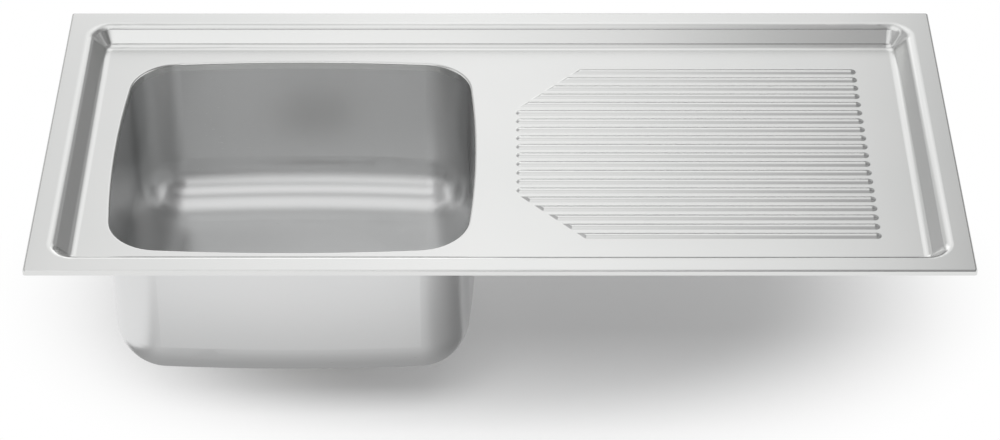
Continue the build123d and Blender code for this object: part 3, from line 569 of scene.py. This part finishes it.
def slotted_head(shape, x, y, top):
    """Adds a pan head with a slot in its lower face to shape."""
    foot = top - HEAD_HEIGHT
    slot_floor = foot + SLOT_DEPTH
    head = bmesh.new()
    section = [(0.0, foot), (HEAD_RADIUS - 0.9 * MM, foot), (HEAD_RADIUS - 0.25 * MM, foot + 0.4 * MM),
               (HEAD_RADIUS, foot + 1.1 * MM), (HEAD_RADIUS, top - 0.3 * MM),
               (HEAD_RADIUS - 0.3 * MM, top), (0.0, top)]
    points = [head.verts.new((x + radius, y, height)) for radius, height in section]
    edges = [head.edges.new(pair) for pair in zip(points, points[1:])]
    bmesh.ops.spin(head, geom=[*points, *edges], cent=(x, y, 0.0), axis=UP, angle=2 * pi,
                   steps=HEAD_STEPS, use_merge=True)
    bmesh.ops.remove_doubles(head, verts=head.verts, dist=SAME_POINT)
    for side in (-1.0, 1.0):
        cut(head, (x, y + side * SLOT_WIDTH / 2, 0.0), Vector((0.0, 1.0, 0.0)))
    cut(head, (x, y, slot_floor), UP)
    middle = [face for face in head.faces if abs(face.calc_center_median().y - y) < SLOT_WIDTH / 2
              and face.calc_center_median().z < slot_floor]
    bmesh.ops.delete(head, geom=middle, context="FACES")
    corners = [vert for vert in head.verts
               if vert.is_boundary and abs(vert.co.z - slot_floor) < SAME_PLACE
               and abs(abs(vert.co.y - y) - SLOT_WIDTH / 2) < SAME_PLACE]
    for side in (-1.0, 1.0):
        ends = sorted((vert for vert in corners if side * (vert.co.y - y) > 0), key=lambda vert: vert.co.x)
        head.edges.new((ends[0], ends[-1]))
    bare = [edge for edge in head.edges if len(edge.link_faces) < 2]
    bmesh.ops.edgenet_fill(head, edges=bare)
    mesh = bpy.data.meshes.new("head")
    head.to_mesh(mesh)
    head.free()
    shape.from_mesh(mesh)
    bpy.data.meshes.remove(mesh)


for number in range(1, 9):
    node = f"clip_screw_{number}"
    low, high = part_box(node)
    x = (low.x + high.x) / 2
    y = (low.y + high.y) / 2
    head_top = low.z + HEAD_HEIGHT
    shape = threaded_rod(x, y, head_top - 0.2 * MM, high.z)
    slotted_head(shape, x, y, head_top)
    finished(f"clip_screw_threaded_{number}", shape, zinc, node, f"clip_screw_body_{number}",
             smooth=30.0)

# %% [markdown]
# ## Floor
# The sink floats at the height of its own outlet over a white studio floor, as it does in the
# picture. The floor takes the sink's shadow inside an oval under the sink. Farther out it turns to
# plain white, and only rays from the camera and from shiny or clear surfaces see it so: the light on
# the object stays the same.

# %% Floor
FLOOR_Z = cad_low.z - 0.5 * MM
FLOOR_SIZE = 16.0
FLOOR_PAINT = 0.85
FLOOR_GLOW = 0.14
SHADE_WIDTH = 0.65
SHADE_DEPTH = 0.43
SHADE_MIDDLE = 0.10
SHADE_FULL = 0.45
SHADE_GONE = 0.95

floor_mesh = bpy.data.meshes.new("floor")
shape = bmesh.new()
bmesh.ops.create_grid(shape, x_segments=1, y_segments=1, size=FLOOR_SIZE / 2)
bmesh.ops.translate(shape, vec=(0.0, 0.0, FLOOR_Z), verts=shape.verts)
shape.to_mesh(floor_mesh)
shape.free()
white_floor, tree = new_material("white_studio_floor")
ray = add(tree, "ShaderNodeLightPath")
seen = add(tree, "ShaderNodeMath", {"operation": "MAXIMUM"}, i0=(ray, "Is Camera Ray"),
           i1=(ray, "Is Glossy Ray"))
shown = add(tree, "ShaderNodeMath", {"operation": "MAXIMUM"}, i0=(seen, 0), i1=(ray, "Is Transmission Ray"))
paint = add(tree, "ShaderNodeBsdfDiffuse", Color=(FLOOR_PAINT, FLOOR_PAINT, FLOOR_PAINT, 1.0))
fill = add(tree, "ShaderNodeEmission", Strength=FLOOR_GLOW)
lit = add(tree, "ShaderNodeAddShader", i0=(paint, 0), i1=(fill, 0))
white = add(tree, "ShaderNodeEmission", Strength=1.0)
place = add(tree, "ShaderNodeTexCoord")
middle = add(tree, "ShaderNodeVectorMath", {"operation": "SUBTRACT"}, i0=(place, "Object"),
             i1=(0.0, SHADE_MIDDLE, FLOOR_Z))
oval = add(tree, "ShaderNodeVectorMath", {"operation": "DIVIDE"}, i0=(middle, 0),
           i1=(SHADE_WIDTH, SHADE_DEPTH, 1.0))
distance = add(tree, "ShaderNodeVectorMath", {"operation": "LENGTH"}, i0=(oval, 0))
far = add(tree, "ShaderNodeMapRange", {"interpolation_type": "SMOOTHSTEP"}, Value=(distance, "Value"),
          From_Min=SHADE_FULL, From_Max=SHADE_GONE)
look = add(tree, "ShaderNodeMixShader", Fac=(far, 0), i1=(lit, 0), i2=(white, 0))
surface = add(tree, "ShaderNodeMixShader", Fac=(shown, 0), i1=(paint, 0), i2=(look, 0))
add(tree, "ShaderNodeOutputMaterial", Surface=(surface, 0))
floor = bpy.data.objects.new("floor", floor_mesh)
floor_mesh.materials.append(white_floor)
bpy.context.scene.collection.objects.link(floor)
print("Floor", round(-FLOOR_Z / MM, 1), "mm under the rim")

# %% [markdown]
# ## White room
# The sink is photographed on plain white, so the world is white to the camera and to reflections.
# To the matt surfaces it is half as bright, and that soft fill keeps the shadow from going black.

# %% White room
FILL = 0.50
world = bpy.data.worlds.new("white_room")
bpy.context.scene.world = world
world.use_nodes = True
tree = world.node_tree
tree.nodes.clear()
ray = add(tree, "ShaderNodeLightPath")
seen = add(tree, "ShaderNodeMath", {"operation": "MAXIMUM"}, i0=(ray, "Is Camera Ray"),
           i1=(ray, "Is Glossy Ray"))
shown = add(tree, "ShaderNodeMath", {"operation": "MAXIMUM"}, i0=(seen, 0), i1=(ray, "Is Transmission Ray"))
fill = add(tree, "ShaderNodeBackground", Color=(1.0, 1.0, 1.0, 1.0), Strength=FILL)
backdrop = add(tree, "ShaderNodeBackground", Color=(1.0, 1.0, 1.0, 1.0), Strength=1.0)
air = add(tree, "ShaderNodeMixShader", Fac=(shown, 0), i1=(fill, 0), i2=(backdrop, 0))
add(tree, "ShaderNodeOutputWorld", Surface=(air, 0))
print("Fill from the room:", FILL, "of white")

# %% [markdown]
# ## Tent
# Steel has no look of its own: it shows the room. A photographer hangs a white tent over such a
# sink and fixes grey strips and brighter panels to it, and those draw the form: a dark strip becomes
# the thin dark line in each bend, and the grey ends of the tent darken the side walls. Here the tent
# is a half drum round the sink, 3 m in radius, that the steel's reflections alone can see. One ramp
# gives its level over the arch, from the front horizon at 0 degrees to the back one at 180, and two
# more give it over the tent's length, for its front and its back half. The arch's level is multiplied
# by that of the half. The camera looks down at 36 degrees, so the deck shows it the tent at 144, a
# slope that leans to the camera shows a lower angle, and 64 to 69 and 107 to 117 are the dark strips
# that give the bends their lines.

# %% Tent
TENT_RADIUS = 3.0
TENT_LENGTH = 8.0
TENT_END = TENT_LENGTH / 2
HALVES_MEET = (100, 112)
RAMP_SCALE = 0.5
ARCH = [(0, 0.80), (16, 0.90), (22, 1.20), (26, 1.50), (30, 1.45), (34, 0.70), (41, 0.70), (46, 1.22),
        (60, 1.22), (63.5, 0.35), (69.5, 0.35), (74, 1.05), (90, 1.10), (101, 1.08), (107, 0.85),
        (117, 0.85), (123, 1.20), (134, 1.22), (140, 1.13), (150, 1.05), (153, 1.15), (156, 1.60),
        (168, 1.60), (172, 1.00), (180, 0.90)]
FRONT_END_TO_END = [(-4.0, 1.0), (0.0, 1.0), (0.24, 0.90), (0.47, 0.70), (0.59, 0.52), (0.71, 0.36),
                    (0.9, 0.40), (1.5, 0.28), (1.8, 0.30), (2.3, 0.60), (4.0, 0.60)]
BACK_END_TO_END = [(-4.0, 0.45), (-1.25, 0.45), (-0.98, 0.82), (0.0, 1.0), (0.78, 0.80), (0.95, 0.60),
                   (1.15, 0.27), (4.0, 0.27)]


def marks(levels, low, high):
    """Ramp stops from (value, grey) pairs. A ramp ends at 1, so it holds a share of the grey."""
    greys = [(grey * RAMP_SCALE, grey * RAMP_SCALE, grey * RAMP_SCALE, 1.0) for value, grey in levels]
    return [((value - low) / (high - low), grey) for (value, _), grey in zip(levels, greys)]


tent_mesh = bpy.data.meshes.new("tent")
shape = bmesh.new()
ends = [shape.verts.new((x, -TENT_RADIUS, 0.0)) for x in (-TENT_END, TENT_END)]
seam = shape.edges.new(ends)
bmesh.ops.spin(shape, geom=[*ends, seam], cent=(0.0, 0.0, 0.0), axis=(1.0, 0.0, 0.0), angle=-pi, steps=72)
shape.to_mesh(tent_mesh)
shape.free()
cloth, tree = new_material("tent_cloth")
place = add(tree, "ShaderNodeTexCoord")
point = add(tree, "ShaderNodeSeparateXYZ", Vector=(place, "Object"))
to_front = add(tree, "ShaderNodeMath", {"operation": "MULTIPLY"}, i0=(point, "Y"), i1=-1.0)
angle = add(tree, "ShaderNodeMath", {"operation": "ARCTAN2"}, i0=(point, "Z"), i1=(to_front, 0))
over = add(tree, "ShaderNodeMath", {"operation": "DIVIDE"}, i0=(angle, 0), i1=pi)
along = add(tree, "ShaderNodeMapRange", Value=(point, "X"), From_Min=-TENT_END, From_Max=TENT_END)
arch = add(tree, "ShaderNodeValToRGB", stops=marks(ARCH, 0, 180), Fac=(over, 0))
front = add(tree, "ShaderNodeValToRGB", stops=marks(FRONT_END_TO_END, -TENT_END, TENT_END),
            Fac=(along, "Result"))
back = add(tree, "ShaderNodeValToRGB", stops=marks(BACK_END_TO_END, -TENT_END, TENT_END),
           Fac=(along, "Result"))
half = add(tree, "ShaderNodeMapRange", Value=(over, 0), From_Min=HALVES_MEET[0] / 180,
           From_Max=HALVES_MEET[1] / 180)
end_to_end = add(tree, "ShaderNodeMix", {"data_type": "RGBA"}, i0=(half, "Result"), i6=(front, "Color"),
                 i7=(back, "Color"))
level = add(tree, "ShaderNodeMix", {"data_type": "RGBA", "blend_type": "MULTIPLY"}, i0=1.0,
            i6=(arch, "Color"), i7=(end_to_end, 2))
glow = add(tree, "ShaderNodeEmission", Color=(level, 2), Strength=1 / RAMP_SCALE ** 2)
add(tree, "ShaderNodeOutputMaterial", Surface=(glow, 0))


def hang(name, mesh, material):
    """Hangs a piece of the tent where only reflections see it."""
    mesh.materials.append(material)
    piece = bpy.data.objects.new(name, mesh)
    piece.visible_camera = False
    piece.visible_diffuse = False
    piece.visible_transmission = False
    piece.visible_shadow = False
    bpy.context.scene.collection.objects.link(piece)


hang("tent", tent_mesh, cloth)
print("Tent:", len(tent_mesh.polygons), "faces, highest at", TENT_RADIUS, "m")

# %% [markdown]
# ## Dark cards
# Black felt on a card is what a photographer puts where steel has to look dark. Two cards stand along
# the back horizon. The left one darkens the bends beside the bowl, and the right one, which is
# higher, puts the dark line behind each rib. A third stands low in front and to the right, and two
# more far out at both ends of the tent. The bowl's end walls see these three after two or three
# reflections, which makes them the darkest part of the picture.

# %% Dark cards
CARD_RADIUS = 2.9


def dark_card(name, low, high, x_low, x_high, grey):
    """A card bent along the tent from one angle to another and from one x to another."""
    mesh = bpy.data.meshes.new(name)
    shape = bmesh.new()
    start = Matrix.Rotation(radians(-low), 4, "X")
    ends = [shape.verts.new(start @ Vector((x, -CARD_RADIUS, 0.0))) for x in (x_low, x_high)]
    edge = shape.edges.new(ends)
    bmesh.ops.spin(shape, geom=[*ends, edge], cent=(0.0, 0.0, 0.0), axis=(1.0, 0.0, 0.0),
                   angle=-radians(high - low), steps=8)
    shape.to_mesh(mesh)
    shape.free()
    material, tree = new_material(name + "_felt")
    glow = add(tree, "ShaderNodeEmission", Color=(grey, grey, grey, 1.0), Strength=1.0)
    add(tree, "ShaderNodeOutputMaterial", Surface=(glow, 0))
    hang(name, mesh, material)
    print(name, "- from", low, "to", high, "degrees, grey", grey)


dark_card("left_horizon_card", 171.0, 184.0, -1.05, 0.0, 0.35)
dark_card("right_horizon_card", 160.5, 184.0, 0.0, 1.05, 0.25)
dark_card("right_front_card", 22.0, 46.0, -0.12, 1.8, 0.22)
dark_card("far_right_card", 24.0, 95.0, 1.82, 4.0, 0.25)
dark_card("far_left_card", 24.0, 95.0, -4.0, -1.5, 0.45)

# %% [markdown]
# ## Grey card on the floor
# The front of the bowl reflects the floor before it. A card laid there, seen by reflections alone,
# carries a painted shadow: it goes from white in front to grey beside the bowl, and darker under the
# drainboard, so that the wall darkens downwards and round its right corner.

# %% Grey card on the floor
FLOOR_CARD_LIFT = 1.0 * MM
FLOOR_CARD_SIZE = (0.90, 0.44, 1.0)
FLOOR_CARD_MIDDLE = (-0.05, -0.30)
# Levels of the painted shadow, from the card's front edge back to the bowl and from left to right.
TOWARDS_BOWL = [(-0.52, 1.0), (-0.49, 1.0), (-0.455, 0.93), (-0.42, 0.82), (-0.385, 0.72), (-0.30, 0.60),
                (-0.20, 0.44), (-0.08, 0.36)]
TOWARDS_RIGHT = [(-0.50, 0.80), (-0.43, 1.08), (-0.08, 1.0), (0.04, 0.62), (0.40, 0.55)]
FRONT_EDGE = TOWARDS_BOWL[0][0]
BACK_EDGE = TOWARDS_BOWL[-1][0]
LEFT_EDGE = TOWARDS_RIGHT[0][0]
RIGHT_EDGE = TOWARDS_RIGHT[-1][0]

floor_card_mesh = bpy.data.meshes.new("floor_card")
shape = bmesh.new()
bmesh.ops.create_grid(shape, x_segments=1, y_segments=1, size=0.5)
bmesh.ops.scale(shape, vec=FLOOR_CARD_SIZE, verts=shape.verts)
bmesh.ops.translate(shape, vec=(*FLOOR_CARD_MIDDLE, FLOOR_Z + FLOOR_CARD_LIFT), verts=shape.verts)
shape.to_mesh(floor_card_mesh)
shape.free()
# An emission that paints the shadow beside and under the bowl, for reflections only.
painted_floor_shadow, tree = new_material("floor_card_painted_shadow")
place = add(tree, "ShaderNodeTexCoord")
point = add(tree, "ShaderNodeSeparateXYZ", Vector=(place, "Object"))
deep = add(tree, "ShaderNodeMapRange", Value=(point, "Y"), From_Min=FRONT_EDGE, From_Max=BACK_EDGE)
wide = add(tree, "ShaderNodeMapRange", Value=(point, "X"), From_Min=LEFT_EDGE, From_Max=RIGHT_EDGE)
near = add(tree, "ShaderNodeValToRGB", stops=marks(TOWARDS_BOWL, FRONT_EDGE, BACK_EDGE),
           Fac=(deep, "Result"))
side = add(tree, "ShaderNodeValToRGB", stops=marks(TOWARDS_RIGHT, LEFT_EDGE, RIGHT_EDGE),
           Fac=(wide, "Result"))
level = add(tree, "ShaderNodeMix", {"data_type": "RGBA", "blend_type": "MULTIPLY"}, i0=1.0,
            i6=(near, "Color"), i7=(side, "Color"))
glow = add(tree, "ShaderNodeEmission", Color=(level, 2), Strength=1 / RAMP_SCALE ** 2)
add(tree, "ShaderNodeOutputMaterial", Surface=(glow, 0))
hang("floor_card", floor_card_mesh, painted_floor_shadow)
print("Floor card:", FLOOR_CARD_SIZE[0], "by", FLOOR_CARD_SIZE[1], "m")

# %% [markdown]
# ## Key light
# One large soft lamp stands over the sink, a little to the camera's side, so the shadow lies soft and
# round under the sink and the floor in front of it stays white. With the room's fill it lights a
# level surface at a plain level: a colour renders about as it is written.

# %% Key light
KEY_ANGLE = 56.0
KEY_LEFT = 0.2
KEY_REACH = 2.5
KEY_WIDTH = 1.6
KEY_DEPTH = 1.2
KEY_LEVEL = 6.6
key_lamp = bpy.data.lights.new("key_soft_box", "AREA")
key_lamp.shape = "RECTANGLE"
key_lamp.size = KEY_WIDTH
key_lamp.size_y = KEY_DEPTH
key_lamp.energy = KEY_LEVEL * pi * KEY_WIDTH * KEY_DEPTH
key = bpy.data.objects.new("key_soft_box", key_lamp)
key.location = (-KEY_LEFT, -KEY_REACH * cos(radians(KEY_ANGLE)), KEY_REACH * sin(radians(KEY_ANGLE)))
key.rotation_euler = (radians(90 - KEY_ANGLE), 0.0, 0.0)
key.visible_glossy = False
bpy.context.scene.collection.objects.link(key)
print("Key light:", round(key_lamp.energy, 1), "W")
